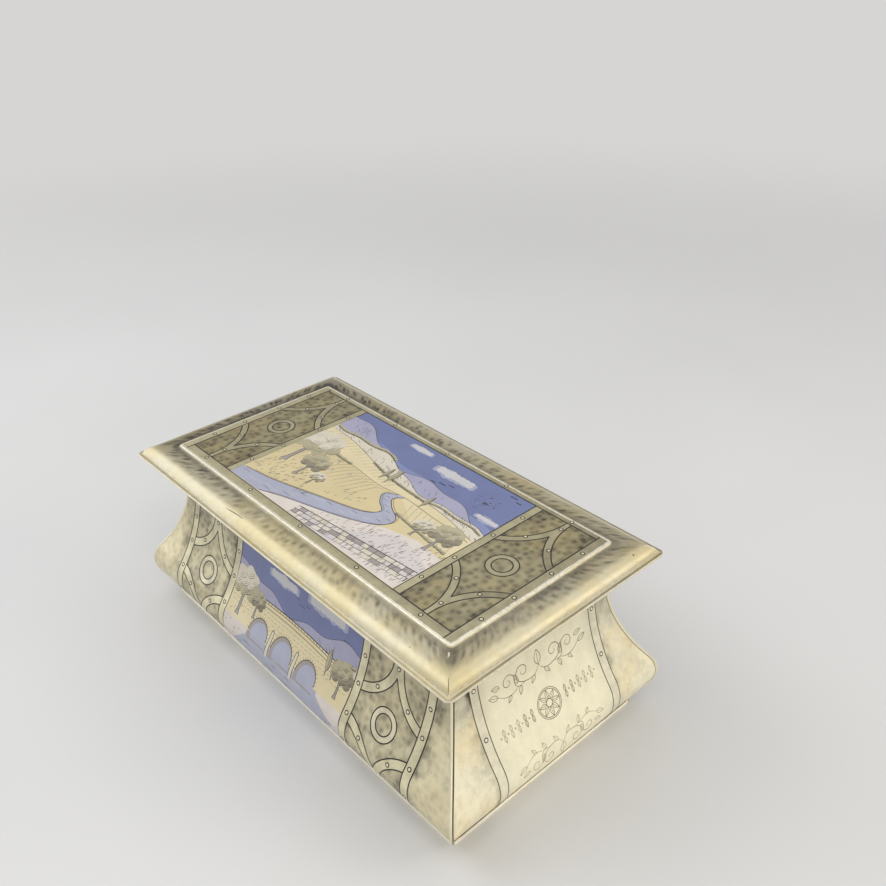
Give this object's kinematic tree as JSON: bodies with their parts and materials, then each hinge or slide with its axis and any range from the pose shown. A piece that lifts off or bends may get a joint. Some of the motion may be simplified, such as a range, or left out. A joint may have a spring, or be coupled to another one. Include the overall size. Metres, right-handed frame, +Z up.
{
  "type": "deed box",
  "caption": "Rectangular tinplate deed box with pressed ogee walls, a seamed base and a moulded, overhanging lid hinged along the back.",
  "frame": {"origin": "centre of the footprint, on the table", "axes": "+X along the length towards the right end, +Y towards the hinges at the back, +Z up"},
  "size_m": [0.2586, 0.1404, 0.1018],
  "materials": {
    "printed_tin": "satin lacquer over a printed olive and cream ground, worn bright at the folds",
    "plain_tin": "bare tinplate, dulled and slightly stained",
    "steel": "satin mild steel"
  },
  "bodies": {
    "box_body": {"front_wall": "printed_tin", "back_wall": "printed_tin", "left_wall": "printed_tin", "right_wall": "printed_tin", "seam_front_left": "printed_tin", "seam_front_right": "printed_tin", "seam_back_left": "printed_tin", "seam_back_right": "printed_tin", "base_plate": "plain_tin", "rim_front": "plain_tin", "rim_back": "plain_tin", "rim_left": "plain_tin", "rim_right": "plain_tin", "mouth_wire": "steel", "hinge_left_body_leaf": "steel", "hinge_right_body_leaf": "steel", "hinge_left_pin": "steel", "hinge_right_pin": "steel", "hinge_body_rivets": "steel"},
    "lid": {"lid_top": "printed_tin", "lid_frame": "plain_tin", "skirt_front": "plain_tin", "skirt_back": "plain_tin", "skirt_left": "plain_tin", "skirt_right": "plain_tin", "hinge_left_lid_leaf": "steel", "hinge_right_lid_leaf": "steel", "hinge_lid_rivets": "steel"}
  },
  "joints": [
    {"name": "lid_hinge", "type": "hinge", "parent": "box_body", "child": "lid", "pos_m": [0, 0.05115, 0.093], "axis": [-1, 0, 0], "range_deg": [0, 95]}
  ]
}
